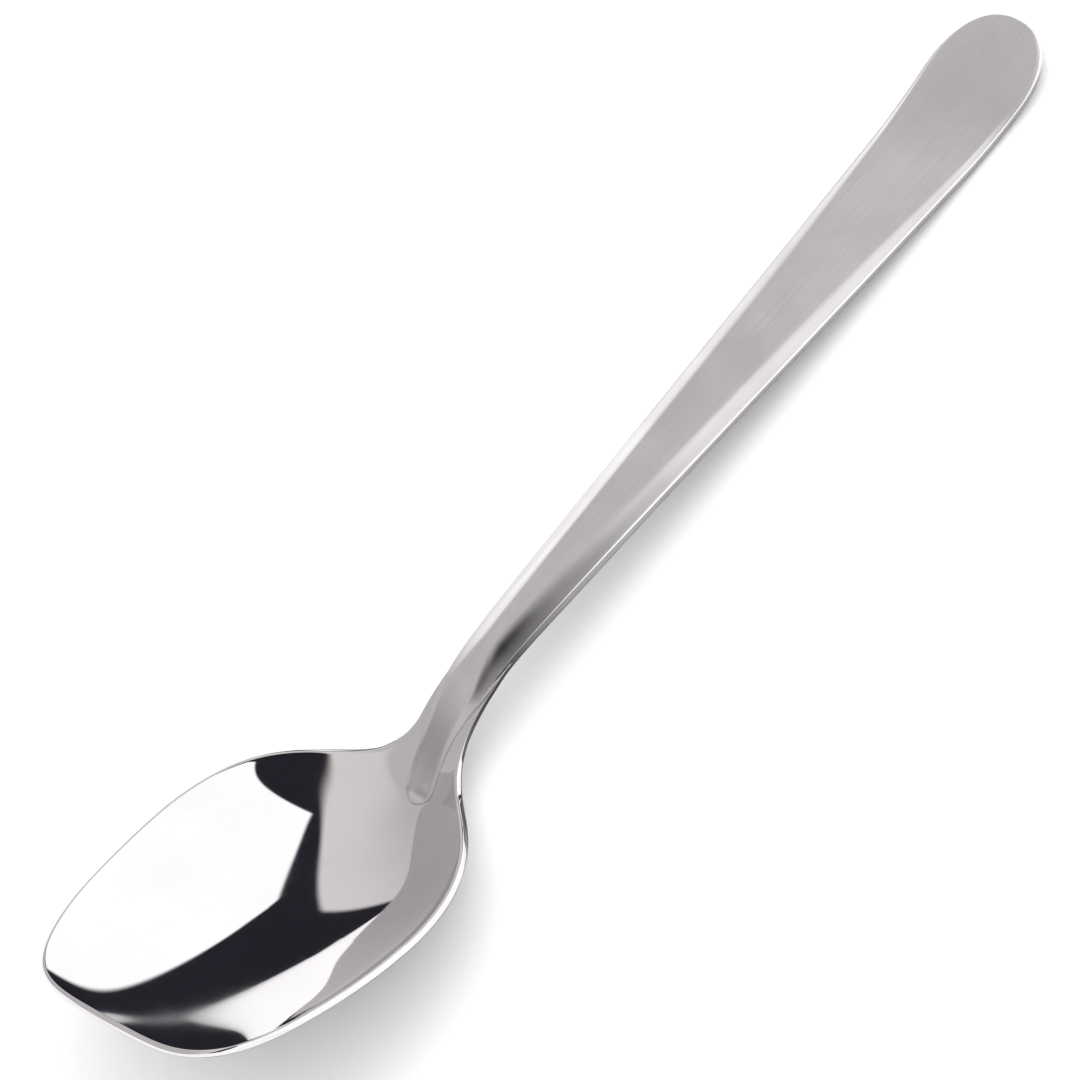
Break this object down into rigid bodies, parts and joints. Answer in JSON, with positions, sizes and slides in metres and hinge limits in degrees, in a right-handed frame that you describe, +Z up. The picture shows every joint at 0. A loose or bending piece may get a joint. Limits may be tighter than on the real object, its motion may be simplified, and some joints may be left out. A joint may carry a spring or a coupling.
{
  "type": "serving spoon",
  "caption": "Steel serving spoon with a polished blunt-fronted bowl, a bent neck and a tapered handle with a round, slightly lifted end.",
  "frame": {"origin": "middle of the box around the spoon, on the table that it lies on", "axes": "+X from the front of the bowl towards the end of the handle, +Y across the spoon, +Z up from the table"},
  "size_m": [0.2178, 0.046, 0.03],
  "materials": {
    "polished_steel": "mirror polished",
    "buffed_steel": "softly buffed"
  },
  "bodies": {
    "root": {"bowl": "polished_steel", "handle": "buffed_steel"}
  },
  "joints": []
}
